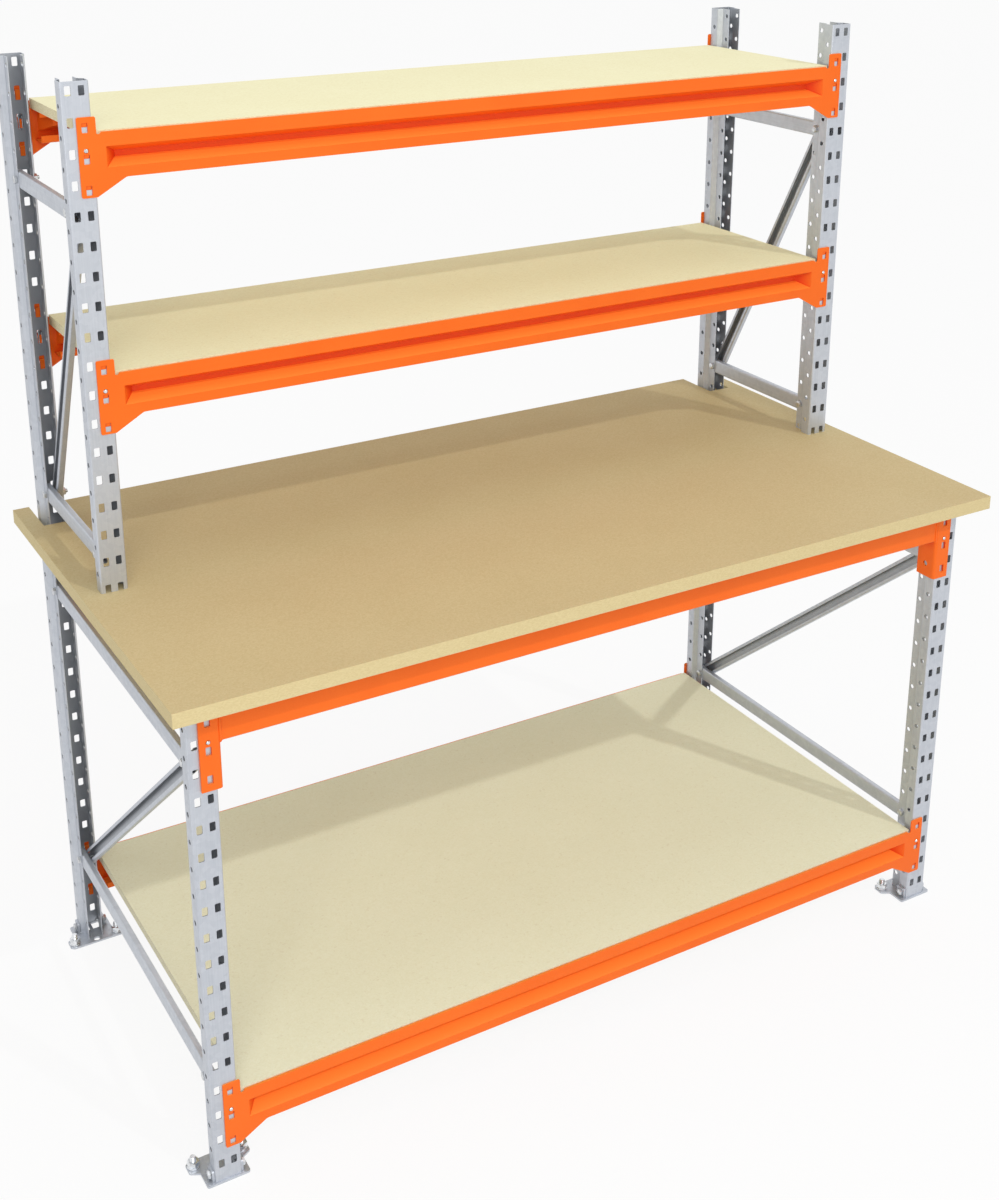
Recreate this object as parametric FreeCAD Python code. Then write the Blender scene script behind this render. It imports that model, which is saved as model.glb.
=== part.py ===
import FreeCAD, Part
import math
import os

# A packing and assembly bench built from hooked shelving steel: four perforated uprights on foot plates,
# two short uprights standing on the worktop, bolted side braces, six step beams that carry three shelf
# boards, and two box beams under the worktop. Millimetres, +Z up. The origin lies on the floor, under the
# middle of the lower frame; -Y is the working side. Each piece is drawn once beside its own upright or
# beam and then carried to its places.

# Frame
upright_spacing = 1560.0
lower_depth = 800.0
upper_depth = 400.0
hole_pitch = 50.0
hole_top_margin = 15.0
rear_row_count = 36
front_row_count = 18
overrun = 5.0
seat_gap = 0.1

# How many rows of the hole grid lie below the middle hook of each beam and below the brace bolts
shelf_row_counts = {"top": 33, "middle": 25, "bottom": 2}
worktop_row_count = 16
brace_row_counts = {"lower": (15, 3), "upper": (31, 19)}

# Upright section, a folded sheet with legs that step in towards the mouth
upright_width = 47.4
upright_sheet = 1.5
upright_bend = 1.5
upright_front_leg = 23.0
upright_jog = 8.0
upright_depth = 52.0
upright_mouth_width = 29.4
web_hole_spacing = 21.9
web_hole_width = 10.0
web_hole_height = 16.0
web_hole_corner = 2.0
side_hole_setback = 13.5
brace_hole_setback = 44.0
side_hole_diameter = 9.0

# Side braces, lipped channels that lie side by side in the mouth of the uprights
brace_height = 30.0
brace_lip = 7.0
brace_sheet = 1.5
brace_bend = 1.5
brace_side_gap = 0.2
brace_split_gap = 0.6
brace_end_margin = 15.0

# Bolts of the braces and of the foot plates
bolt_diameter = 8.0
bolt_head_flats = 13.0
bolt_head_height = 5.3
bolt_chamfer = 1.0
nut_height = 6.5
nut_bore_gap = 0.1
bolt_tail = 4.0

# Foot plate with two ears bent up out of it
foot_sheet = 4.0
foot_front_overhang = 3.0
foot_front_width = 77.0
foot_front_length = 33.0
foot_lobe_width = 110.0
foot_lobe_start = 42.0
foot_lobe_corner = 6.0
foot_depth = 71.0
foot_corner = 4.0
foot_hole_diameter = 13.0
foot_hole_setback = 60.0
ear_setback = 3.0
ear_length = 22.0
ear_height = 21.0
ear_corner = 4.0
ear_gap = 0.2

# Floor anchors
anchor_diameter = 12.0
anchor_hole_gap = 0.5
anchor_spread = 87.0
anchor_setback = 54.0
anchor_nut_flats = 19.0
anchor_nut_height = 10.0
anchor_nut_chamfer = 1.4
anchor_washer_diameter = 22.0
anchor_washer_height = 2.5
anchor_stud_above_nut = 9.0
anchor_stud_chamfer = 1.5

# Step beam of the shelves, measured from its middle hook and from the middle of the upright
beam_sheet = 2.0
beam_rise = 33.0
beam_drop = 42.0
beam_depth = 40.0
beam_lip = 12.0
beam_bend = 1.5
beam_body_setback = 37.0
connector_top = 58.0
connector_bottom = 70.7
connector_outer_edge = 1.7
connector_top_reach = 29.0
connector_bottom_reach = 24.0
connector_corner = 3.0
gusset_reach = 73.5
gusset_corner = 12.0
notch_depth = 3.5
notch_corner = 2.5
groove_middle_drop = 7.5
groove_mouth = 34.0
groove_floor = 10.6
groove_depth = 27.0
groove_end_run = 21.0
groove_setback = 43.0

# Hooks and their windows in the connector plates
hook_width = 8.4
hook_root = 2.0
hook_nose_drop = 17.0
hook_sheet = 2.5
hook_gap = 0.3
window_width = 9.6
window_height = 16.0
window_corner = 1.2
shelf_window_drop = 1.0
worktop_window_drop = 6.5

# Box beam under the worktop, with an angle connector at each end
box_height = 70.0
box_depth = 40.0
box_sheet = 2.0
box_bend = 2.0
box_setback = 1.5
angle_sheet = 4.0
angle_bend = 2.0
angle_outer_edge = 4.0
angle_reach = 32.0
angle_depth = 46.0
angle_bottom = 84.0
angle_top_gap = 9.0
angle_corner = 3.0
angle_hole_diameter = 11.0
angle_hole_setback = 20.5
angle_hole_drop = 57.5

# Locking pin with a wire loop inside the upright, one for each end of a beam
lock_diameter = 6.4
lock_hole_gap = 0.8
lock_tip = 1.2
lock_tip_chamfer = 0.8
lock_collar_diameter = 9.0
lock_collar_height = 1.6
lock_collar_gap = 0.5
lock_wire_diameter = 2.2
lock_loop_width = 6.0
lock_loop_drop = 20.0
shelf_lock_rise = 4.4
worktop_lock_rise = 1.2

# Boards
shelf_board_height = 18.0
shelf_board_rise = 2.0
shelf_board_end_gap = 6.5
shelf_board_edge_gap = 1.0
worktop_height = 26.0
worktop_end_overhang = 58.0
worktop_edge_overhang = 50.0
worktop_beam_gap = 2.0
worktop_notch_gap = 3.5

# Places that follow from the sizes above
V = FreeCAD.Vector
left_x = -upright_spacing / 2
right_x = upright_spacing / 2
front_y = -lower_depth / 2
rear_y = lower_depth / 2
upper_y = rear_y - upper_depth
first_row = foot_sheet + hole_pitch - hole_top_margin
upright_bottom = foot_sheet + seat_gap
rear_top = foot_sheet + rear_row_count * hole_pitch
front_top = foot_sheet + front_row_count * hole_pitch
worktop_bottom = front_top + worktop_beam_gap
worktop_top = worktop_bottom + worktop_height
worktop_width = upright_spacing + 2 * worktop_end_overhang
worktop_depth = lower_depth + 2 * worktop_edge_overhang
mouth_clear = upright_mouth_width - 2 * upright_sheet
brace_leg = (mouth_clear - 2 * brace_side_gap - brace_split_gap) / 2
column = web_hole_spacing / 2


def row(number):
    """Height of a row of web holes."""
    return first_row + number * hole_pitch


def flat(a, b):
    """A point of an outline that lies flat."""
    return V(a, b, 0)


def facing(a, b):
    """A point of an outline that faces the front."""
    return V(a, 0, b)


def sideways(a, b):
    """A point of an outline that faces the side."""
    return V(0, a, b)


def outline(corners, plane):
    """Closed face through (a, b, radius) corners of a plane, each corner rounded by its radius."""
    places = [plane(a, b) for a, b, radius in corners]
    arcs = []
    for i, (a, b, radius) in enumerate(corners):
        here = places[i]
        back = (places[i - 1] - here).normalize()
        ahead = (places[(i + 1) % len(places)] - here).normalize()
        half = back.getAngle(ahead) / 2
        middle = (back + ahead).normalize() if radius else V()
        reach = radius / math.tan(half)
        nearest = here + middle * (radius / math.sin(half) - radius)
        arcs.append((here + back * reach, nearest, here + ahead * reach, radius))
    edges = []
    for i, (start, nearest, end, radius) in enumerate(arcs):
        if radius:
            edges.append(Part.Arc(start, nearest, end).toShape())
        edges.append(Part.LineSegment(end, arcs[(i + 1) % len(arcs)][0]).toShape())
    return Part.Face(Part.Wire(edges))


def folded(path, sheet, bend, plane):
    """Face of a folded sheet: path is its middle line, bend the inner radius of its folds."""
    left = []
    right = []
    for i, (a, b) in enumerate(path):
        before = path[max(i - 1, 0)]
        after = path[min(i + 1, len(path) - 1)]
        into = V(a - before[0], b - before[1], 0)
        out = V(after[0] - a, after[1] - b, 0)
        into = (into if into.Length else out).normalize()
        out = (out if out.Length else into).normalize()
        mitre = V(-into.y - out.y, into.x + out.x, 0).normalize()
        reach = sheet / 2 / (mitre.y * into.x - mitre.x * into.y)
        turn = into.x * out.y - into.y * out.x
        at_end = i in (0, len(path) - 1)
        inner = 0 if at_end else bend
        outer = 0 if at_end else bend + sheet
        left.append((a + mitre.x * reach, b + mitre.y * reach, inner if turn > 0 else outer))
        right.append((a - mitre.x * reach, b - mitre.y * reach, outer if turn > 0 else inner))
    return outline(left + right[::-1], plane)


def rectangle(a, b, width, height, corner, plane):
    """Face of a rectangle about the middle (a, b), with rounded corners."""
    signs = ((-1, -1), (1, -1), (1, 1), (-1, 1))
    return outline([(a + i * width / 2, b + j * height / 2, corner) for i, j in signs], plane)


def moved(shape, x, y, z, half_turn=False):
    """A copy of a shape, turned half round about the vertical if asked, and carried to a place."""
    copy = shape.copy()
    if half_turn:
        copy.rotate(V(), V(0, 0, 1), 180)
    copy.translate(V(x, y, z))
    return copy


def mirrored(shape):
    """The other-handed copy of a shape, left for right."""
    return shape.mirror(V(), V(1, 0, 0))


def rod(diameter, start, end):
    """Round bar from one point to another."""
    return Part.makeCylinder(diameter / 2, (end - start).Length, start, end - start)


def hexagon(flats, height, chamfer, start, axis):
    """Hexagon prism along an axis, with the corners of its far end turned off."""
    corner = flats / math.sqrt(3)
    points = [V(corner * math.cos(i * math.pi / 3), corner * math.sin(i * math.pi / 3), 0) for i in range(7)]
    prism = Part.Face(Part.makePolygon(points)).extrude(V(0, 0, height))
    blank = Part.makeCylinder(corner, height)
    rim = [edge for edge in blank.Edges if edge.Closed and edge.CenterOfMass.z > height / 2]
    prism = prism.common(blank.makeChamfer(chamfer, rim))
    prism.Placement = FreeCAD.Placement(start, FreeCAD.Rotation(V(0, 0, 1), axis))
    return prism


def upright(bottom, top):
    """Upright with its web face on y = 0 and its legs towards +Y."""
    half = (upright_width - upright_sheet) / 2
    mouth = (upright_mouth_width - upright_sheet) / 2
    right = [(half, upright_sheet / 2), (half, upright_front_leg)]
    right += [(mouth, upright_front_leg + upright_jog), (mouth, upright_depth)]
    path = [(-x, y) for x, y in right[::-1]] + right
    body = folded(path, upright_sheet, upright_bend, flat).extrude(V(0, 0, top - bottom))
    body.translate(V(0, 0, bottom))
    across = V(upright_width + 2 * overrun, 0, 0)
    through = V(0, upright_sheet + 2 * overrun, 0)
    tools = []
    for z in [row(i) for i in range(rear_row_count) if bottom < row(i) < top]:
        for x in (-column, column):
            hole = rectangle(x, z, web_hole_width, web_hole_height, web_hole_corner, facing)
            tools.append(moved(hole.extrude(through), 0, -overrun, 0))
        for y, level in ((side_hole_setback, z - hole_pitch / 2), (brace_hole_setback, z)):
            end = V(across.x / 2, y, level)
            tools.append(rod(side_hole_diameter, end - across, end))
    return body.cut(tools)


def channel(run, rise):
    """Brace along +Y and up by its rise, from the first bolt at the origin, its back on x = 0 facing -X."""
    span = math.hypot(run, rise)
    length = span + 2 * brace_end_margin
    mid = brace_sheet / 2
    edge = brace_height / 2 - mid
    lip = brace_height / 2 - brace_lip
    path = [(brace_leg - mid, lip), (brace_leg - mid, edge), (mid, edge)]
    path += [(mid, -edge), (brace_leg - mid, -edge), (brace_leg - mid, -lip)]
    body = folded(path, brace_sheet, brace_bend, facing).extrude(V(0, length, 0))
    body.translate(V(0, -brace_end_margin, 0))
    through = V(brace_sheet + 2 * overrun, 0, 0)
    holes = [rod(side_hole_diameter, V(-overrun, y, 0), V(-overrun, y, 0) + through) for y in (0, span)]
    body = body.cut(holes)
    body.rotate(V(), V(1, 0, 0), math.degrees(math.atan2(rise, run)))
    return body


def hex_bolt(grip, tail):
    """Bolt along +X: its head seat on x = 0, its shank through the grip and a tail beyond it."""
    head = hexagon(bolt_head_flats, bolt_head_height, bolt_chamfer, V(), V(-1, 0, 0))
    return head.fuse(rod(bolt_diameter, V(), V(grip + tail, 0, 0))).removeSplitter()


def hex_nut():
    """Nut along +X, seated on x = 0."""
    nut = hexagon(bolt_head_flats, nut_height, bolt_chamfer, V(), V(1, 0, 0))
    start = V(-overrun, 0, 0)
    return nut.cut(rod(bolt_diameter + 2 * nut_bore_gap, start, V(nut_height + overrun, 0, 0)))


def foot():
    """Foot plate beside an upright's own axes, with its two ears and the openings that they left."""
    front = -foot_front_overhang
    back = foot_depth - foot_front_overhang
    right = [(foot_front_width / 2, front, foot_corner), (foot_front_width / 2, foot_front_length, 0)]
    right += [(foot_lobe_width / 2, foot_lobe_start, foot_corner)]
    right += [(foot_lobe_width / 2, back - foot_lobe_corner, 0)]
    right += [(foot_lobe_width / 2 - foot_lobe_corner, back, 0)]
    plate = outline(right + [(-x, y, r) for x, y, r in right[::-1]], flat).extrude(V(0, 0, foot_sheet))
    ear_face = upright_width / 2 + ear_gap
    ear_middle = ear_setback + ear_length / 2
    cuts = [rod(foot_hole_diameter, V(0, foot_hole_setback, -overrun), V(0, foot_hole_setback, foot_sheet + overrun))]
    ears = []
    for side in (-1, 1):
        opening = rectangle(side * (ear_face - ear_height / 2), ear_middle, ear_height, ear_length, 0, flat)
        cuts.append(moved(opening.extrude(V(0, 0, foot_sheet + 2 * overrun)), 0, 0, -overrun))
        corners = [(ear_setback, 0, 0), (ear_setback + ear_length, 0, 0)]
        corners += [(ear_setback + ear_length, foot_sheet + ear_height, ear_corner)]
        corners += [(ear_setback, foot_sheet + ear_height, ear_corner)]
        ear = outline(corners, sideways).extrude(V(side * foot_sheet, 0, 0))
        ears.append(moved(ear, side * ear_face, 0, 0))
        hole = V(side * anchor_spread / 2, anchor_setback, -overrun)
        cuts.append(rod(anchor_diameter + 2 * anchor_hole_gap, hole, hole + V(0, 0, foot_sheet + 2 * overrun)))
    body = plate.cut(cuts).fuse(ears).removeSplitter()
    start = V(-foot_lobe_width / 2, side_hole_setback, row(0) - hole_pitch / 2)
    return body.cut(rod(side_hole_diameter, start, start + V(foot_lobe_width, 0, 0)))


def anchor():
    """Floor anchor: stud, washer and nut as they sit on the plate."""
    washer_top = foot_sheet + seat_gap + anchor_washer_height
    stud_top = washer_top + anchor_nut_height + anchor_stud_above_nut
    stud = Part.makeCylinder(anchor_diameter / 2, stud_top)
    rim = [edge for edge in stud.Edges if edge.Closed and edge.CenterOfMass.z > stud_top / 2]
    stud = stud.makeChamfer(anchor_stud_chamfer, rim)
    washer = rod(anchor_washer_diameter, V(0, 0, foot_sheet + seat_gap), V(0, 0, washer_top))
    nut = hexagon(anchor_nut_flats, anchor_nut_height, anchor_nut_chamfer, V(0, 0, washer_top), V(0, 0, 1))
    return stud.fuse([washer, nut]).removeSplitter()


def hooks(sheet, window_drop, lock_rise):
    """Hooks of one connector and the cuts in its plate; the web's outer face is y = 0, the middle row z = 0."""
    plate_front = -seat_gap - sheet
    root = plate_front + sheet / 2
    seat = hook_gap - web_hole_height / 2
    nose_front = upright_sheet + hook_gap
    nose_back = nose_front + hook_sheet
    profile = [(root, hook_root - window_drop, 0), (root, -window_drop, 0), (0, seat, 0), (nose_front, seat, 0)]
    profile += [(nose_front, -hook_nose_drop, 0), (nose_back, -hook_nose_drop, 0)]
    profile += [(nose_back, hook_root - window_drop, hook_sheet / 2)]
    hook = outline(profile, sideways).extrude(V(hook_width, 0, 0))
    middle = -window_drop - window_height / 2
    window = rectangle(0, middle, window_width, window_height, window_corner, facing)
    window = window.extrude(V(0, sheet + seat_gap + overrun, 0))
    rows = (-hole_pitch, 0, hole_pitch)
    solids = [moved(hook, column - hook_width / 2, 0, z) for z in rows]
    cuts = [moved(window, column, plate_front - overrun, z) for z in rows]
    start = V(column, plate_front - overrun, lock_rise)
    cuts.append(rod(lock_diameter + 2 * lock_hole_gap, start, start + V(0, sheet + overrun + seat_gap, 0)))
    return solids, cuts


def both_ends(pieces):
    """Pieces drawn beside the left upright, set at both ends of a beam that lies about x = 0."""
    left = [moved(piece, left_x, 0, 0) for piece in pieces]
    return left + [mirrored(piece) for piece in left]


def groove(sheet):
    """Pressed groove with sloping sides and ends, grown by a sheet's thickness; its mouth is on y = 0."""
    side_run = (groove_mouth - groove_floor) / 2
    depth = groove_depth + sheet
    half_length = upright_spacing / 2 - groove_setback
    grown_x = sheet * math.hypot(groove_depth, groove_end_run) / groove_depth
    grown_z = sheet * math.hypot(groove_depth, side_run) / groove_depth
    wires = []
    for y in (0, depth):
        x = half_length + grown_x - groove_end_run * y / groove_depth
        z = groove_mouth / 2 + grown_z - side_run * y / groove_depth
        points = [V(x, y, z), V(-x, y, z), V(-x, y, -z), V(x, y, -z), V(x, y, z)]
        wires.append(Part.makePolygon([point - V(0, 0, groove_middle_drop) for point in points]))
    return Part.makeLoft(wires, True, True)


def step_beam():
    """Shelf beam beside the front uprights: web faces on y = 0, middle hooks on z = 0, x = 0 its middle."""
    front = -seat_gap - beam_sheet
    left = [(left_x - connector_outer_edge, -connector_bottom, connector_corner)]
    left += [(left_x - connector_outer_edge, connector_top, connector_corner)]
    left += [(left_x + connector_top_reach, connector_top, connector_corner)]
    left += [(left_x + connector_top_reach, beam_rise - notch_depth, notch_corner)]
    left += [(left_x + beam_body_setback - notch_depth, beam_rise - notch_depth, notch_corner)]
    left += [(left_x + beam_body_setback, beam_rise, 0)]
    right = [(-x, z, r) for x, z, r in left[::-1]]
    below = [(-left_x - connector_bottom_reach, -connector_bottom, connector_corner)]
    below += [(-left_x - gusset_reach, -beam_drop, gusset_corner)]
    below += [(-x, z, r) for x, z, r in below[::-1]]
    face = outline(left + right + below, facing)
    plate = moved(face.extrude(V(0, beam_sheet, 0)), 0, front, 0)
    length = upright_spacing - 2 * beam_body_setback
    mid = beam_sheet / 2
    ledge = beam_rise + shelf_board_rise - shelf_board_height - seat_gap - mid
    hem = [(front + 3 * mid, beam_rise), (front + 3 * mid, ledge), (front + beam_depth, ledge)]
    hem += [(front + beam_depth, ledge - beam_lip)]
    sole = [(front + mid, mid - beam_drop), (front + beam_depth, mid - beam_drop)]
    sole += [(front + beam_depth, mid - beam_drop + beam_lip)]
    folds = [folded(path, beam_sheet, beam_bend, sideways).extrude(V(length, 0, 0)) for path in (hem, sole)]
    folds = [moved(fold, -length / 2, 0, 0) for fold in folds]
    hook_solids, hook_cuts = hooks(beam_sheet, shelf_window_drop, shelf_lock_rise)
    shell = plate.fuse([moved(groove(beam_sheet), 0, front, 0)] + folds)
    shell = shell.cut([moved(groove(0), 0, front, 0)] + both_ends(hook_cuts))
    return shell.fuse(both_ends(hook_solids)).removeSplitter()


def box_beam():
    """Worktop beam beside the front uprights: web faces on y = 0, middle hooks on z = 0, x = 0 its middle."""
    top = worktop_bottom - seat_gap - row(worktop_row_count)
    front = -seat_gap - angle_sheet
    mid = angle_sheet / 2
    height = top - angle_top_gap + angle_bottom
    path = [(-angle_outer_edge, front + mid), (angle_reach - mid, front + mid)]
    path += [(angle_reach - mid, front + angle_depth)]
    angle = folded(path, angle_sheet, angle_bend, flat).extrude(V(0, 0, height))
    angle = moved(angle, 0, 0, -angle_bottom)
    hook_solids, hook_cuts = hooks(angle_sheet, worktop_window_drop, worktop_lock_rise)
    hole = V(angle_reach - angle_sheet - overrun, angle_hole_setback, -angle_hole_drop)
    hook_cuts.append(rod(angle_hole_diameter, hole, hole + V(angle_sheet + 2 * overrun, 0, 0)))
    ends = both_ends([angle.cut(hook_cuts).fuse(hook_solids)])
    middle = (front + box_setback + box_depth / 2, top - box_height / 2)
    length = upright_spacing - 2 * angle_reach
    tube = rectangle(*middle, box_depth, box_height, box_bend + box_sheet, sideways)
    hollow = rectangle(*middle, box_depth - 2 * box_sheet, box_height - 2 * box_sheet, box_bend, sideways)
    tube = moved(tube.cut(hollow).extrude(V(length, 0, 0)), -length / 2, 0, 0)
    return tube.fuse(ends).removeSplitter()


def lock_pin(sheet):
    """Locking pin about its own axis along +Y, beside the web's outer face on y = 0."""
    tip = -seat_gap - sheet - lock_tip
    collar = upright_sheet + hook_gap + hook_sheet + lock_collar_gap
    back = collar + lock_collar_height
    shank = rod(lock_diameter, V(0, tip, 0), V(0, collar, 0))
    rim = [edge for edge in shank.Edges if edge.Closed and edge.CenterOfMass.y < (tip + collar) / 2]
    shank = shank.makeChamfer(lock_tip_chamfer, rim)
    disc = rod(lock_collar_diameter, V(0, collar, 0), V(0, back, 0))
    half = lock_loop_width / 2
    legs = [rod(lock_wire_diameter, V(x, back, 0), V(x, back, -lock_loop_drop)) for x in (-half, half)]
    bottom = V(0, back, -lock_loop_drop)
    bend = Part.makeTorus(half, lock_wire_diameter / 2, bottom, V(0, 1, 0), -180, 180, 180)
    if bend.CenterOfMass.z > bottom.z:
        bend.rotate(bottom, V(0, 1, 0), 180)
    return shank.fuse([disc, bend] + legs).removeSplitter()


def shelf_board(front, back):
    """Shelf board between two web planes, its top a little above the lips of the beams."""
    edge = beam_sheet - seat_gap + shelf_board_edge_gap
    length = upright_spacing - upright_width - 2 * shelf_board_end_gap
    board = Part.makeBox(length, back - front - 2 * edge, shelf_board_height)
    return moved(board, -length / 2, front + edge, beam_rise + shelf_board_rise - shelf_board_height)


def worktop():
    """Worktop with two notches, open to the back, round the rear uprights."""
    board = Part.makeBox(worktop_width, worktop_depth, worktop_height)
    board = moved(board, -worktop_width / 2, -worktop_depth / 2, worktop_bottom)
    width = upright_width + 2 * worktop_notch_gap
    start = rear_y - upright_depth - worktop_notch_gap
    notch = Part.makeBox(width, worktop_depth, worktop_height + 2 * overrun)
    return board.cut([moved(notch, x - width / 2, start, worktop_bottom - overrun) for x in (left_x, right_x)])


def uprights():
    """Six uprights: two at the rear, two at the front, two on the worktop."""
    shapes = {}
    rear = upright(upright_bottom, rear_top)
    front = upright(upright_bottom, front_top)
    upper = upright(worktop_top + seat_gap, rear_top)
    for side, x in (("left", left_x), ("right", right_x)):
        shapes["upright_rear_" + side] = moved(rear, x, rear_y, 0, True)
        shapes["upright_front_" + side] = moved(front, x, front_y, 0)
        shapes["upright_upper_" + side] = moved(upper, x, upper_y, 0)
    return shapes


def side_frames():
    """Braces of both side frames, with all their bolts and nuts."""
    shapes = {}
    bolts = []
    nuts = []
    back = mouth_clear / 2 - brace_side_gap
    grip = upright_mouth_width + 2 * seat_gap
    bolt = hex_bolt(grip, nut_height + bolt_tail)
    nut = hex_nut()
    for level, near in (("lower", front_y), ("upper", upper_y)):
        high, low = [row(number) for number in brace_row_counts[level]]
        start = near + brace_hole_setback
        run = rear_y - brace_hole_setback - start
        level_brace = channel(run, 0)
        diagonal = mirrored(channel(run, low - high))
        for side, x in (("left", left_x), ("right", right_x)):
            shapes["brace_%s_top_%s" % (level, side)] = moved(level_brace, x - back, start, high)
            shapes["brace_%s_bottom_%s" % (level, side)] = moved(level_brace, x - back, start, low)
            shapes["brace_%s_diagonal_%s" % (level, side)] = moved(diagonal, x + back, start, high)
            for y in (start, start + run):
                for z in (high, low):
                    bolts.append(moved(bolt, x - grip / 2, y, z))
                    nuts.append(moved(nut, x + grip / 2, y, z))
    shapes["brace_bolts"] = Part.Compound(bolts)
    shapes["brace_nuts"] = Part.Compound(nuts)
    return shapes


def feet():
    """Four foot plates with their bolts, nuts and floor anchors."""
    shapes = {}
    bolts = []
    nuts = []
    anchors = []
    plate = foot()
    stud = anchor()
    nut = hex_nut()
    head_seat = upright_width / 2 + ear_gap + foot_sheet + seat_gap
    nut_seat = upright_width / 2 - upright_sheet - seat_gap
    bolt = hex_bolt(head_seat - nut_seat, nut_height + bolt_tail)
    z = row(0) - hole_pitch / 2
    for depth, y, half_turn in (("front", front_y, False), ("rear", rear_y, True)):
        for side, x in (("left", left_x), ("right", right_x)):
            shapes["foot_%s_%s" % (depth, side)] = moved(plate, x, y, 0, half_turn)
            place = (x, y, 0, half_turn)
            left_bolt = moved(bolt, -head_seat, side_hole_setback, z)
            left_nut = moved(nut, -nut_seat, side_hole_setback, z)
            left_anchor = moved(stud, -anchor_spread / 2, anchor_setback, 0)
            bolts += [moved(left_bolt, *place), moved(mirrored(left_bolt), *place)]
            nuts += [moved(left_nut, *place), moved(mirrored(left_nut), *place)]
            anchors += [moved(left_anchor, *place), moved(mirrored(left_anchor), *place)]
    shapes["foot_bolts"] = Part.Compound(bolts)
    shapes["foot_nuts"] = Part.Compound(nuts)
    shapes["floor_anchors"] = Part.Compound(anchors)
    return shapes


def beams_and_boards():
    """Eight beams with their locking pins, three shelf boards and the worktop."""
    shapes = {"worktop": worktop()}
    step = step_beam()
    box = box_beam()
    kinds = [(name, row(number), step, beam_sheet, shelf_lock_rise) for name, number in shelf_row_counts.items()]
    kinds.append(("worktop", row(worktop_row_count), box, angle_sheet, worktop_lock_rise))
    for name, z, beam, sheet, rise in kinds:
        pin = lock_pin(sheet)
        near = front_y if name in ("bottom", "worktop") else upper_y
        for depth, y, half_turn in (("front", near, False), ("rear", rear_y, True)):
            shapes["beam_%s_%s" % (name, depth)] = moved(beam, 0, y, z, half_turn)
            for side, x in (("left", left_x + column), ("right", right_x - column)):
                shapes["lock_%s_%s_%s" % (name, depth, side)] = moved(pin, x, y, z + rise, half_turn)
        if name != "worktop":
            shapes["shelf_" + name] = moved(shelf_board(near, rear_y), 0, 0, z)
    return shapes


def main():
    """Write every piece of the bench to its own file."""
    os.makedirs("parts", exist_ok=True)
    for build in (uprights, side_frames, feet, beams_and_boards):
        for name, shape in build().items():
            shape.exportStep("parts/%s.step" % name)


main()
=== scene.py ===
"""Looks of a workbench of hooked shelving steel, dressed around its CAD frame. Metres, +Z up."""

import math

import bmesh
import bpy
import numpy as np
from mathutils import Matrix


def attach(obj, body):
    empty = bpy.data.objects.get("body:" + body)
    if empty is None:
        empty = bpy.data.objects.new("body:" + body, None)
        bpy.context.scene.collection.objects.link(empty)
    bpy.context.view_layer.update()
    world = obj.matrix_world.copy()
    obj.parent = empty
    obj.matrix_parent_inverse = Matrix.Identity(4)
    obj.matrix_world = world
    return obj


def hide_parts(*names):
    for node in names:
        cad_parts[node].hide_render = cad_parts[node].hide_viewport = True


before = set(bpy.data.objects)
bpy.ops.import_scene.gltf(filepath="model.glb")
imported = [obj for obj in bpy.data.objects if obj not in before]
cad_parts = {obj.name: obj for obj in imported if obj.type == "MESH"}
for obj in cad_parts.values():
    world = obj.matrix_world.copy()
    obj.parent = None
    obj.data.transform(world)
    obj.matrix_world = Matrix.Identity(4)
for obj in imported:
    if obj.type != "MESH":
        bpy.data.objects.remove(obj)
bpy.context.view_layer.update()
mm = 0.001


def tone(code):
    """An sRGB hex colour as linear red, green, blue and alpha."""
    value = np.array([int(code[i : i + 2], 16) for i in (1, 3, 5)]) / 255
    linear = np.where(value <= 0.04045, value / 12.92, ((value + 0.055) / 1.055) ** 2.4)
    return (*linear.tolist(), 1.0)


def size(millimetres):
    """Texture scale at which one cell of a pattern is that many millimetres wide."""
    return 1 / (millimetres * mm)


def node(tree, kind, inputs=None, **settings):
    """Adds one node: settings are its properties, inputs its sockets by name or number, each a link or a value."""
    made = tree.nodes.new("ShaderNode" + kind)
    for name, value in settings.items():
        setattr(made, name, value)
    for name, value in (inputs or {}).items():
        if isinstance(value, bpy.types.NodeSocket):
            tree.links.new(value, made.inputs[name])
        else:
            made.inputs[name].default_value = value
    return made


def start(name):
    """A new material, with its node tree, its shader and the Object coordinates that all patterns are drawn in."""
    material = bpy.data.materials.new(name)
    material.use_nodes = True
    tree = material.node_tree
    return material, tree, tree.nodes["Principled BSDF"], node(tree, "TexCoord").outputs["Object"]


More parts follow.
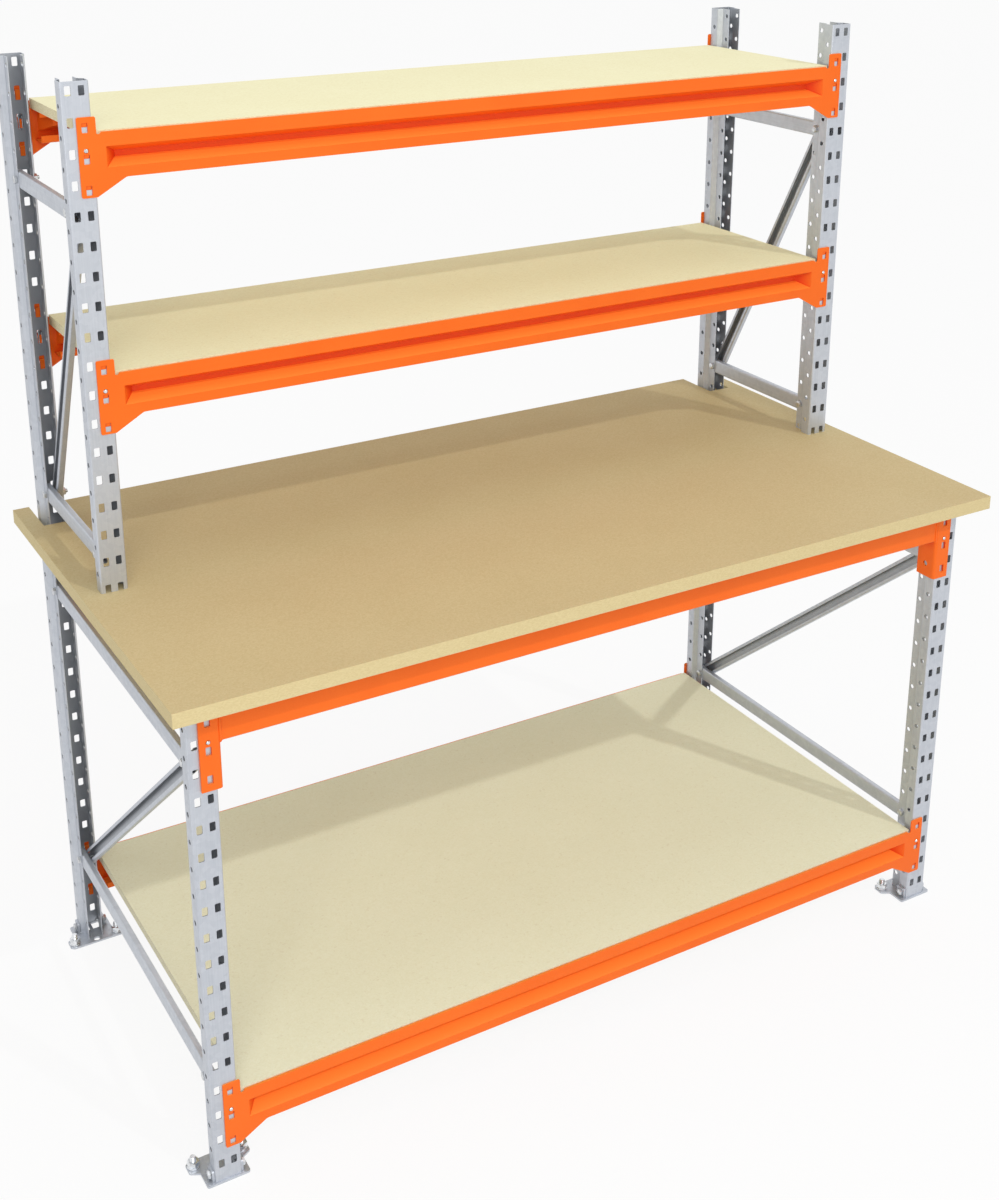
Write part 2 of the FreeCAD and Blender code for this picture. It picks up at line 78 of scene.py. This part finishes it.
def galvanised_strip(name, stretch):
    """Cold-rolled, hot-dip galvanised strip.

    The eye sees a pale blue-grey satin metal, fine streaks left by the rolls along the strip, faint zinc
    crystals about a centimetre wide and broad duller patches where the zinc has whitened; the darker tone
    inside the folds is painted shade. The streaks run along the axis that stretch shrinks.
    """
    material, tree, shader, place = start(name)
    along = node(tree, "Mapping", {"Vector": place, "Scale": stretch}).outputs["Vector"]
    # Roller marks are a few tenths of a millimetre wide; drawn 2.5 mm wide so that they show.
    streaks = node(tree, "TexNoise", {"Vector": along, "Scale": size(2.5), "Detail": 3.0}).outputs["Fac"]
    crystals = node(tree, "TexVoronoi", {"Vector": place, "Scale": size(9)}).outputs["Color"]
    crystal = node(tree, "SeparateColor", {"Color": crystals}).outputs["Red"]
    patches = node(tree, "TexNoise", {"Vector": place, "Scale": size(70), "Detail": 4.0}).outputs["Fac"]
    mixed = node(tree, "Math", {0: streaks, 1: 0.5, 2: 0.0}, operation="MULTIPLY_ADD").outputs[0]
    mixed = node(tree, "Math", {0: crystal, 1: 0.2, 2: mixed}, operation="MULTIPLY_ADD").outputs[0]
    mixed = node(tree, "Math", {0: patches, 1: 0.3, 2: mixed}, operation="MULTIPLY_ADD").outputs[0]
    colours = node(tree, "ValToRGB", {"Fac": mixed})
    colours.color_ramp.elements[0].position, colours.color_ramp.elements[0].color = 0.25, tone("#BEC3CB")
    colours.color_ramp.elements[1].position, colours.color_ramp.elements[1].color = 0.75, tone("#CED2D9")
    # Painted shade: where the strip's own folds shut out light, as ambient occlusion finds, the colour is darkened to
    # a dull grey.
    painted_fold_shade = node(tree, "AmbientOcclusion", {"Distance": 60 * mm}, only_local=True, samples=8).outputs["AO"]
    painted_fold_shade = node(tree, "MapRange", {"Value": painted_fold_shade, "From Min": 0.4, "From Max": 0.9}).outputs["Result"]
    colour = node(tree, "Mix", {0: painted_fold_shade, 6: tone("#A6AAB0"), 7: colours.outputs["Color"]}, data_type="RGBA")
    gloss = {"Value": mixed, "From Min": 0.25, "From Max": 0.75, "To Min": 0.52, "To Max": 0.4}
    rough = node(tree, "MapRange", gloss)
    bump = node(tree, "Bump", {"Height": mixed, "Strength": 0.12, "Distance": 0.4 * mm})
    tree.links.new(colour.outputs[2], shader.inputs["Base Color"])
    tree.links.new(rough.outputs["Result"], shader.inputs["Roughness"])
    tree.links.new(bump.outputs["Normal"], shader.inputs["Normal"])
    shader.inputs["Metallic"].default_value = 0.7
    return material


def orange_powder_coat():
    """Polyester powder coat baked on steel.

    The eye sees one strong orange with a soft gloss, an orange-peel skin and slight clouding of the tone;
    faces turned up are made paler as painted light, and the bottom of the grooves redder as painted shade.
    """
    material, tree, shader, place = start("orange_powder_coat")
    clouds = node(tree, "TexNoise", {"Vector": place, "Scale": size(120), "Detail": 3.0}).outputs["Fac"]
    # The peel's cells are about 1 mm wide; drawn 2 mm wide so that they show.
    peel = node(tree, "TexNoise", {"Vector": place, "Scale": size(2), "Detail": 2.0}).outputs["Fac"]
    mixed = node(tree, "Math", {0: clouds, 1: 0.6, 2: 0.0}, operation="MULTIPLY_ADD").outputs[0]
    mixed = node(tree, "Math", {0: peel, 1: 0.4, 2: mixed}, operation="MULTIPLY_ADD").outputs[0]
    colours = node(tree, "ValToRGB", {"Fac": mixed})
    colours.color_ramp.elements[0].position, colours.color_ramp.elements[0].color = 0.3, tone("#FB6C18")
    colours.color_ramp.elements[1].position, colours.color_ramp.elements[1].color = 0.7, tone("#FF761E")
    # Painted light: faces turned up are mixed paler. Painted shade: steep faces deep in a groove are mixed redder.
    upward = node(tree, "SeparateXYZ", {"Vector": node(tree, "TexCoord").outputs["Normal"]}).outputs["Z"]
    painted_top_light = node(tree, "MapRange", {"Value": upward, "From Min": 0.3, "From Max": 0.8, "To Max": 0.85})
    steep = node(tree, "Math", {0: upward}, operation="ABSOLUTE").outputs[0]
    steep = node(tree, "MapRange", {"Value": steep, "From Min": 0.2, "From Max": 0.6, "To Min": 1.0, "To Max": 0.0})
    open_share = node(tree, "AmbientOcclusion", {"Distance": 35 * mm}, only_local=True, samples=8).outputs["AO"]
    depth = {"Value": open_share, "From Min": 0.5, "From Max": 0.9, "To Min": 1.0, "To Max": 0.0}
    deep = node(tree, "MapRange", depth)
    painted_groove_shade = node(tree, "Math", {0: deep.outputs["Result"], 1: steep.outputs["Result"]}, operation="MULTIPLY")
    painted_top_light_inputs = {0: painted_top_light.outputs["Result"], 6: colours.outputs["Color"], 7: tone("#FF943A")}
    colour = node(tree, "Mix", painted_top_light_inputs, data_type="RGBA").outputs[2]
    colour = node(tree, "Mix", {0: painted_groove_shade.outputs[0], 6: colour, 7: tone("#E4440A")}, data_type="RGBA").outputs[2]
    rough = node(tree, "MapRange", {"Value": peel, "From Min": 0.3, "From Max": 0.7, "To Min": 0.5, "To Max": 0.4})
    bump = node(tree, "Bump", {"Height": peel, "Strength": 0.18, "Distance": 0.3 * mm})
    tree.links.new(colour, shader.inputs["Base Color"])
    tree.links.new(rough.outputs["Result"], shader.inputs["Roughness"])
    tree.links.new(bump.outputs["Normal"], shader.inputs["Normal"])
    shader.inputs["Specular IOR Level"].default_value = 0.25
    return material


def pressed_board(name, light, dark, edge_light, edge_dark, fleck, grit, rough):
    """Board pressed from wood particles and sanded.

    The eye sees a matt straw-coloured face with a fine speckle of small particles, scattered darker flecks and
    slow clouding; the sawn edges show coarser grains, in layers along the board.
    """
    material, tree, shader, place = start(name)
    # The particles of the face are under 1 mm; drawn as wide as grit says so that they show.
    cells = node(tree, "TexVoronoi", {"Vector": place, "Scale": size(grit)}).outputs["Color"]
    cell = node(tree, "SeparateColor", {"Color": cells}).outputs["Red"]
    grain = node(tree, "TexNoise", {"Vector": place, "Scale": size(grit * 0.8), "Detail": 3.0}).outputs["Fac"]
    clouds = node(tree, "TexNoise", {"Vector": place, "Scale": size(160), "Detail": 4.0}).outputs["Fac"]
    mixed = node(tree, "Math", {0: cell, 1: 0.3, 2: 0.0}, operation="MULTIPLY_ADD").outputs[0]
    mixed = node(tree, "Math", {0: grain, 1: 0.4, 2: mixed}, operation="MULTIPLY_ADD").outputs[0]
    mixed = node(tree, "Math", {0: clouds, 1: 0.3, 2: mixed}, operation="MULTIPLY_ADD").outputs[0]
    face = node(tree, "ValToRGB", {"Fac": mixed})
    face.color_ramp.elements[0].position, face.color_ramp.elements[0].color = 0.3, tone(dark)
    face.color_ramp.elements[1].position, face.color_ramp.elements[1].color = 0.7, tone(light)
    spots = node(tree, "TexNoise", {"Vector": place, "Scale": size(grit * 2.2), "Detail": 1.0}).outputs["Fac"]
    spots = node(tree, "MapRange", {"Value": spots, "From Min": 0.66, "From Max": 0.74, "To Min": 0.0, "To Max": 0.3})
    face = node(tree, "Mix", {0: spots.outputs["Result"], 6: face.outputs["Color"], 7: tone(fleck)}, data_type="RGBA")
    layers = node(tree, "Mapping", {"Vector": place, "Scale": (0.6, 0.6, 1.6)}).outputs["Vector"]
    chips = node(tree, "TexVoronoi", {"Vector": layers, "Scale": size(grit * 0.8)}).outputs["Color"]
    chip = node(tree, "SeparateColor", {"Color": chips}).outputs["Green"]
    edge = node(tree, "ValToRGB", {"Fac": chip})
    edge.color_ramp.elements[0].position, edge.color_ramp.elements[0].color = 0.1, tone(edge_dark)
    edge.color_ramp.elements[1].position, edge.color_ramp.elements[1].color = 0.9, tone(edge_light)
    facing = node(tree, "SeparateXYZ", {"Vector": node(tree, "TexCoord").outputs["Normal"]}).outputs["Z"]
    level = node(tree, "Math", {0: facing}, operation="ABSOLUTE").outputs[0]
    level = node(tree, "MapRange", {"Value": level, "From Min": 0.4, "From Max": 0.6}).outputs["Result"]
    colour = node(tree, "Mix", {0: level, 6: edge.outputs["Color"], 7: face.outputs[2]}, data_type="RGBA")
    relief = node(tree, "Math", {0: chip, 1: 0.4, 2: mixed}, operation="MULTIPLY_ADD").outputs[0]
    bump = node(tree, "Bump", {"Height": relief, "Strength": 0.2, "Distance": 0.5 * mm})
    sheen = {"Value": mixed, "From Min": 0.3, "From Max": 0.7, "To Min": rough + 0.06, "To Max": rough - 0.06}
    gloss = node(tree, "MapRange", sheen)
    tree.links.new(colour.outputs[2], shader.inputs["Base Color"])
    tree.links.new(gloss.outputs["Result"], shader.inputs["Roughness"])
    tree.links.new(bump.outputs["Normal"], shader.inputs["Normal"])
    shader.inputs["Specular IOR Level"].default_value = 0.3
    return material


def zinc_plate(name, light, dark, rough):
    """Steel fasteners with electroplated zinc.

    The eye sees a small bright metal piece with a faint grey bloom and light tool marks.
    """
    material, tree, shader, place = start(name)
    bloom = node(tree, "TexNoise", {"Vector": place, "Scale": size(6), "Detail": 4.0}).outputs["Fac"]
    colours = node(tree, "ValToRGB", {"Fac": bloom})
    colours.color_ramp.elements[0].position, colours.color_ramp.elements[0].color = 0.3, tone(dark)
    colours.color_ramp.elements[1].position, colours.color_ramp.elements[1].color = 0.65, tone(light)
    sheen = {"Value": bloom, "From Min": 0.3, "From Max": 0.7, "To Min": rough + 0.08, "To Max": rough}
    gloss = node(tree, "MapRange", sheen)
    marks = node(tree, "TexNoise", {"Vector": place, "Scale": size(0.8), "Detail": 2.0}).outputs["Fac"]
    bump = node(tree, "Bump", {"Height": marks, "Strength": 0.1, "Distance": 0.1 * mm})
    tree.links.new(colours.outputs["Color"], shader.inputs["Base Color"])
    tree.links.new(gloss.outputs["Result"], shader.inputs["Roughness"])
    tree.links.new(bump.outputs["Normal"], shader.inputs["Normal"])
    shader.inputs["Metallic"].default_value = 1.0
    return material


upright_strip = galvanised_strip("galvanised_upright_strip", (1.0, 1.0, 0.02))
brace_strip = galvanised_strip("galvanised_brace_strip", (1.0, 0.02, 1.0))
foot_plate = galvanised_strip("galvanised_foot_plate", (0.4, 0.4, 0.4))
orange = orange_powder_coat()
raised_shelf_tones = ("#F8F3CB", "#F2EBC0", "#F4EAC6", "#E6DAB0", "#DFD2A4")
raised_shelf_board = pressed_board("sanded_chipboard", *raised_shelf_tones, grit=3.0, rough=0.75)
# Painted light: the low shelf's board is the same chipboard drawn in paler tones, standing in for more light and
# fainter shadow there.
painted_light_low_shelf_tones = ("#FAF9DC", "#F4F2D1", "#F6F0D3", "#E8E0BD", "#E2D9B4")
painted_light_low_shelf_board = pressed_board("sanded_chipboard_painted_light", *painted_light_low_shelf_tones, grit=3.0, rough=0.75)
worktop_tones = ("#D2C092", "#C9B585", "#E0CE9C", "#D8C592", "#B9A372")
worktop_board = pressed_board("sanded_worktop_board", *worktop_tones, grit=2.6, rough=0.62)
fastener_zinc = zinc_plate("dull_zinc_plate", "#E2E4E6", "#C4C6C8", 0.28)
bright_zinc = zinc_plate("bright_zinc_plate", "#EEF0F2", "#CDD0D3", 0.16)

finishes = {
    "upright": upright_strip,
    "brace_lower": brace_strip,
    "brace_upper": brace_strip,
    "brace_bolts": fastener_zinc,
    "brace_nuts": fastener_zinc,
    "foot_front": foot_plate,
    "foot_rear": foot_plate,
    "foot_bolts": fastener_zinc,
    "foot_nuts": fastener_zinc,
    "floor_anchors": bright_zinc,
    "beam": orange,
    "lock": bright_zinc,
    "shelf_bottom": painted_light_low_shelf_board,
    "shelf": raised_shelf_board,
    "worktop": worktop_board,
}
for name, cad_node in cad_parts.items():
    finish = next(finishes[key] for key in finishes if name.startswith(key))
    cad_node.data.materials.clear()
    cad_node.data.materials.append(finish)


def weave(grid, ring):
    """Quads over a grid of points (copies, rows, turns): turns close on themselves, rows too where ring is true."""
    index = np.arange(grid[..., 0].size).reshape(grid.shape[:3])
    beside = np.roll(index, -1, axis=2)
    after = np.roll(index, -1, axis=1)
    quads = np.stack([index, beside, np.roll(beside, -1, axis=1), after], axis=-1)
    return (quads if ring else quads[:, :-1]).reshape(-1, 4)


def piece(name, shells, finish, replaced=()):
    """Joins shells (grid, ring) into one smooth mesh that rides on the bench and stands for the replaced nodes."""
    points = np.concatenate([grid.reshape(-1, 3) for grid, ring in shells])
    counts = np.cumsum([0] + [grid[..., 0].size for grid, ring in shells])
    faces = np.concatenate([weave(grid, ring) + first for (grid, ring), first in zip(shells, counts)])
    mesh = bpy.data.meshes.new(name)
    mesh.from_pydata(points, [], faces)
    work = bmesh.new()
    work.from_mesh(mesh)
    bmesh.ops.remove_doubles(work, verts=work.verts, dist=1e-6)
    bmesh.ops.recalc_face_normals(work, faces=work.faces)
    work.to_mesh(mesh)
    work.free()
    mesh.shade_smooth()
    mesh.set_sharp_from_angle(angle=math.radians(35))
    mesh.materials.append(finish)
    made = bpy.data.objects.new(name, mesh)
    bpy.context.collection.objects.link(made)
    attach(made, "bench")
    if replaced:
        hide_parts(*replaced)
    return made


def copies(grid, spots, turns):
    """One (rows, turns, 3) grid at several spots: each point is turned by a spot's axes and carried to the spot."""
    return np.einsum("nij,rtj->nrti", np.array(turns, float), grid) + np.array(spots, float)[:, None, None, :]


def thread(outer, pitch, bottom, plain, top, bevel):
    """Shank along z, plain up to one height and threaded above it, where
    radius = outer - 0.61 pitch |2 frac(z / pitch - angle / 360) - 1|, cut by a bevel at its top."""
    height = np.concatenate([[bottom, bottom, plain], np.arange(plain, top, pitch / 6), [top, top]])[:, None]
    angle = np.linspace(0, 2 * np.pi, 32, endpoint=False)[None, :]
    wave = np.abs(2 * np.mod(height / pitch - angle / (2 * np.pi), 1) - 1)
    wave[:3] = 0
    radius = np.minimum(outer - 0.61 * pitch * wave, outer - np.maximum(height - (top - bevel), 0))
    radius[[0, -1]] = 0
    return np.stack(np.broadcast_arrays(radius * np.cos(angle), radius * np.sin(angle), height), axis=-1) * mm


def hexagon(flats, bore, bottom, top, bevelled_bottom):
    """Hexagon ring along z: rim radius = half the flats / cos(angle from the flat's middle), and past the inscribed
    circle its faces fall away by 0.58 of the distance, which gives the curved bevel of a turned nut."""
    angle = np.linspace(0, 2 * np.pi, 60, endpoint=False)
    rim = flats / 2 / np.cos(np.mod(angle + np.pi / 6, np.pi / 3) - np.pi / 6)
    circle = np.full_like(rim, flats / 2 * 0.95)
    fall = 0.58 * (rim - circle)
    low = bottom + (fall if bevelled_bottom else 0 * fall)
    radius = np.stack([np.full_like(rim, bore), circle, rim, rim, circle, np.full_like(rim, bore)])
    flat = np.ones_like(rim)
    height = np.stack([bottom * flat, bottom * flat, low, top - fall, top * flat, top * flat])
    return np.stack([radius * np.cos(angle), radius * np.sin(angle), height], axis=-1) * mm


def washer(outer, bore, bottom, top):
    """Washer along z: a rectangle with rounded outer corners carried round the axis."""
    radius = np.array([bore, outer - 0.5, outer - 0.15, outer, outer, outer - 0.15, outer - 0.5, bore])
    height = np.array([bottom, bottom, bottom + 0.15, bottom + 0.5, top - 0.5, top - 0.15, top, top])
    angle = np.linspace(0, 2 * np.pi, 48, endpoint=False)
    radius, height = radius[:, None], height[:, None]
    return np.stack(np.broadcast_arrays(radius * np.cos(angle), radius * np.sin(angle), height), axis=-1) * mm


def weld(corners, radius, ripple, axis):
    """Weld bead along an open polyline, closed at both ends: girth = radius (1 + 0.16 sin(2 pi run / ripple))."""
    corners = np.array(corners, float)
    legs = np.linalg.norm(np.diff(corners, axis=0), axis=1)
    marks = np.concatenate([[0], np.cumsum(legs)])
    run = np.linspace(0, marks[-1], int(marks[-1] / ripple * 6))
    path = np.stack([np.interp(run, marks, corners[:, k]) for k in range(3)], axis=-1)
    way = np.gradient(path, axis=0)
    way /= np.linalg.norm(way, axis=1)[:, None]
    across = np.array(axis, float)[None, :]
    side = np.cross(way, across)
    girth = radius * (1 + 0.16 * np.sin(2 * np.pi * run / ripple))
    girth[[0, -1]] = 0
    turn = np.linspace(0, 2 * np.pi, 12, endpoint=False)
    around = np.cos(turn)[None, :, None] * across[:, None, :] + np.sin(turn)[None, :, None] * side[:, None, :]
    return (path[:, None, :] + girth[:, None, None] * around) * mm


# Places and sizes of the bolts, in millimetres, as the source of the part has them
post_x = 780.0
post_y = 400.0
upper_post_y = 0.0
lower_brace_levels = (789.0, 189.0)
upper_brace_levels = (1589.0, 989.0)
brace_setback = 44.0
grip = 29.6 / 2
anchor_spread, anchor_setback = 43.5, 54.0
foot_bolt_spread, foot_bolt_setback, foot_bolt_level = 28.0, 13.5, 14.0
anchor_radius, anchor_pitch, anchor_flats = 6.0, 1.75, 19.0
bolt_radius, bolt_pitch, bolt_flats, head_height, nut_height = 4.0, 1.25, 13.0, 5.3, 6.5

frames = [(-1, -post_y), (1, post_y)]
up = np.eye(3)
to_right = np.array([[0, 0, 1], [1, 0, 0], [0, 1, 0]])
to_left = np.array([[0, 0, -1], [-1, 0, 0], [0, 1, 0]])

feet = [(x, y, side) for x in (-post_x, post_x) for side, y in frames]
anchor_spots = [(x + s * anchor_spread, y - side * anchor_setback, 0) for x, y, side in feet for s in (-1, 1)]
anchor_spots = np.array(anchor_spots) * mm
anchor_turns = [up] * len(anchor_spots)
anchor_stud = thread(anchor_radius, anchor_pitch, bottom=0.0, plain=4.0, top=25.6, bevel=1.5)
anchor_washer = washer(outer=11.0, bore=5.6, bottom=4.1, top=6.6)
anchor_nut = hexagon(anchor_flats, bore=5.2, bottom=6.6, top=16.6, bevelled_bottom=False)
anchor_shells = [
    (copies(anchor_stud, anchor_spots, anchor_turns), False),
    (copies(anchor_washer, anchor_spots, anchor_turns), True),
    (copies(anchor_nut, anchor_spots, anchor_turns), True),
]
piece("threaded_floor_anchors", anchor_shells, bright_zinc, ["floor_anchors"])

brace_rows = [(-post_y + brace_setback, z) for z in lower_brace_levels]
brace_rows += [(post_y - brace_setback, z) for z in lower_brace_levels + upper_brace_levels]
brace_rows += [(upper_post_y + brace_setback, z) for z in upper_brace_levels]
brace_spots = np.array([(x, y, z) for x in (-post_x, post_x) for y, z in brace_rows]) * mm
brace_turns = [to_right] * len(brace_spots)
brace_head = hexagon(bolt_flats, bore=0.0, bottom=-grip - head_height, top=-grip, bevelled_bottom=True)
brace_shank = thread(bolt_radius, bolt_pitch, bottom=-grip, plain=grip - 11.5, top=grip + 10.5, bevel=0.9)
brace_shells = [
    (copies(brace_head, brace_spots, brace_turns), False),
    (copies(brace_shank, brace_spots, brace_turns), False),
]
piece("threaded_brace_bolts", brace_shells, fastener_zinc, ["brace_bolts"])
brace_nut = hexagon(bolt_flats, bore=3.6, bottom=grip, top=grip + nut_height, bevelled_bottom=True)
brace_nut_shells = [(copies(brace_nut, brace_spots, brace_turns), True)]
piece("bevelled_brace_nuts", brace_nut_shells, fastener_zinc, ["brace_nuts"])

foot_places = [(x, y - side * foot_bolt_setback, s) for x, y, side in feet for s in (-1, 1)]
foot_spots = np.array([(x + s * foot_bolt_spread, y, foot_bolt_level) for x, y, s in foot_places]) * mm
foot_turns = [to_right if s < 0 else to_left for x, y, s in foot_places]
foot_head = hexagon(bolt_flats, bore=0.0, bottom=-head_height, top=0.0, bevelled_bottom=True)
foot_shank = thread(bolt_radius, bolt_pitch, bottom=0.0, plain=2.0, top=16.4, bevel=0.9)
foot_shells = [
    (copies(foot_head, foot_spots, foot_turns), False),
    (copies(foot_shank, foot_spots, foot_turns), False),
]
piece("threaded_foot_bolts", foot_shells, fastener_zinc, ["foot_bolts"])
foot_nut = hexagon(bolt_flats, bore=3.6, bottom=5.9, top=5.9 + nut_height, bevelled_bottom=True)
foot_nut_shells = [(copies(foot_nut, foot_spots, foot_turns), True)]
piece("bevelled_foot_nuts", foot_nut_shells, fastener_zinc, ["foot_nuts"])

# Worktop beams, in millimetres: their end, outer and inner face, top, rounded corner and underside
beam_end, beam_outside, beam_inside, beam_top, beam_corner, beam_bottom = 748, 402.6, 362.6, 903, 838.5, 835.9
bead_turn = 2.5
weld_shells = []
for side, end in [(side, end) for side in (-1, 1) for end in (-1, 1)]:
    x, near, far = end * beam_end, side * beam_outside, side * beam_inside
    corners = [(x, near, beam_top), (x, near, beam_corner), (x, near - side * bead_turn, beam_bottom)]
    corners += [(x, far + side * bead_turn, beam_bottom), (x, far, beam_corner), (x, far, beam_top)]
    weld_shells.append((weld(corners, radius=2.2, ripple=3.2, axis=(1, 0, 0))[None], False))
piece("worktop_beam_welds", weld_shells, orange)


# Pale floor: for the camera it is mostly plain white, with enough of its own shading left to keep the bench's shadow.
floor_mesh = bpy.data.meshes.new("pale_floor")
floor_mesh.from_pydata([(-30, -30, 0), (30, -30, 0), (30, 30, 0), (-30, 30, 0)], [], [(0, 1, 2, 3)])
floor = bpy.data.objects.new("pale_floor", floor_mesh)
bpy.context.collection.objects.link(floor)
floor_paint = bpy.data.materials.new("pale_studio_floor")
floor_paint.use_nodes = True
tree = floor_paint.node_tree
tree.nodes.clear()
light_path = node(tree, "LightPath")
rays = {0: light_path.outputs["Is Camera Ray"], 1: light_path.outputs["Is Glossy Ray"]}
seen = node(tree, "Math", rays, operation="MAXIMUM")
share = node(tree, "Math", {0: seen.outputs[0], 1: 0.9}, operation="MULTIPLY")
matt = node(tree, "BsdfDiffuse", {"Color": tone("#F4F4F4")})
white = node(tree, "Emission", {"Color": (1, 1, 1, 1), "Strength": 1.0})
both = node(tree, "MixShader", {0: share.outputs[0], 1: matt.outputs[0], 2: white.outputs[0]})
node(tree, "OutputMaterial", {"Surface": both.outputs[0]})
floor_mesh.materials.append(floor_paint)

world = bpy.data.worlds.new("white_studio")
bpy.context.scene.world = world
world.use_nodes = True
tree = world.node_tree
tree.nodes.clear()
light_path = node(tree, "LightPath")
rays = {0: light_path.outputs["Is Camera Ray"], 1: light_path.outputs["Is Glossy Ray"]}
seen = node(tree, "Math", rays, operation="MAXIMUM")
seen = node(tree, "Math", {0: seen.outputs[0], 1: light_path.outputs["Is Transmission Ray"]}, operation="MAXIMUM")
strength = node(tree, "MapRange", {"Value": seen.outputs[0], "To Min": 0.54, "To Max": 1.0})
background = node(tree, "Background", {"Color": (1, 1, 1, 1), "Strength": strength.outputs["Result"]})
node(tree, "OutputWorld", {"Surface": background.outputs[0]})

# Key light from the front right, 44 degrees high, as the bench's shadows in the photograph show
key = bpy.data.objects.new("key_light", bpy.data.lights.new("key_light", "SUN"))
bpy.context.collection.objects.link(key)
key.data.energy = 0.6
key.data.angle = math.radians(1.2)
key.rotation_euler = (math.radians(45.7), 0, math.radians(23.8))

# Two broad soft boxes: one over the bench, one high behind the camera
for name, spot, turn, watts in (
    ("soft_box_above", (0.3, -0.3, 4.8), (0, 0, 0), 25.0),
    ("soft_box_front", (-2.5, -4.4, 3.7), (61.9, 0, -29.6), 102.0),
):
    lamp = bpy.data.objects.new(name, bpy.data.lights.new(name, "AREA"))
    bpy.context.collection.objects.link(lamp)
    lamp.data.size = 3.0
    lamp.data.energy = watts
    lamp.location = spot
    lamp.rotation_euler = [math.radians(a) for a in turn]

# Camera at the photograph's viewing angle, worked out from the rows of holes in the uprights
camera = bpy.data.objects.new("camera", bpy.data.cameras.new("camera"))
bpy.context.collection.objects.link(camera)
camera.location = (-1.5056, -2.5666, 2.1698)
camera.rotation_euler = [math.radians(a) for a in (71.741, 0.072, -30.168)]
camera.data.lens = 49.59
camera.data.sensor_width = 36.0
camera.data.shift_y = -0.185
bpy.context.scene.camera = camera
bpy.context.scene.view_settings.view_transform = "Standard"
